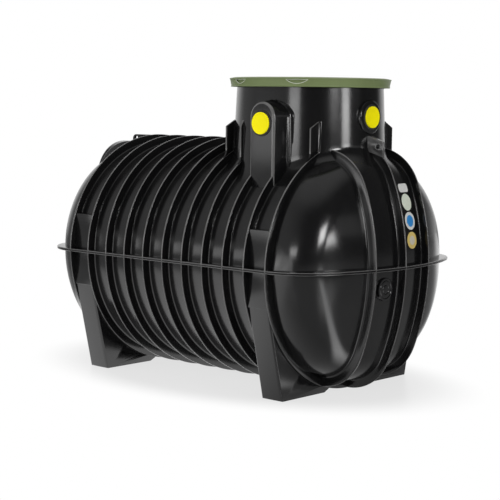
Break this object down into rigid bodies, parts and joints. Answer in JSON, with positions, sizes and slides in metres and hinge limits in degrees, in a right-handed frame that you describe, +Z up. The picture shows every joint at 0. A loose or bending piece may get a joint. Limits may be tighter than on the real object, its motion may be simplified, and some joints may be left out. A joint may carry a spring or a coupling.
{
  "type": "rainwater tank",
  "caption": "Black ribbed plastic underground rainwater tank with a mid weld flange, domed ends, an access shaft with a round green lid, and yellow inlet caps.",
  "frame": {"origin": "on the floor under the middle of the barrel", "axes": "+X towards the end with the access shaft, +Z up, -Y towards the side with the inlet housing"},
  "size_m": [2.262, 1.426, 1.709],
  "materials": {
    "body_black": "gloss",
    "lid_green": "satin",
    "cap_yellow": "satin",
    "seal_rubber": "matte"
  },
  "bodies": {
    "root": {"access_shaft": "body_black", "fin_far_front": "body_black", "fin_far_middle": "body_black", "fin_far_rear": "body_black", "fin_near_front": "body_black", "fin_near_middle": "body_black", "fin_near_rear": "body_black", "foot_front_far": "body_black", "foot_front_near": "body_black", "foot_rear_far": "body_black", "foot_rear_near": "body_black", "front_blank": "body_black", "front_boss": "body_black", "front_cap": "cap_yellow", "front_lug": "body_black", "front_socket": "seal_rubber", "inlet_housing": "body_black", "lid": "lid_green", "lower_barrel": "body_black", "lower_flange": "body_black", "lower_front_end": "body_black", "lower_rear_end": "body_black", "pad_front_far": "body_black", "pad_front_near": "body_black", "pad_rear_far": "body_black", "pad_rear_near": "body_black", "rear_lug": "body_black", "rear_stub": "body_black", "side_cap": "cap_yellow", "side_socket": "seal_rubber", "upper_barrel": "body_black", "upper_flange": "body_black", "upper_front_end": "body_black", "upper_rear_end": "body_black"}
  },
  "joints": []
}
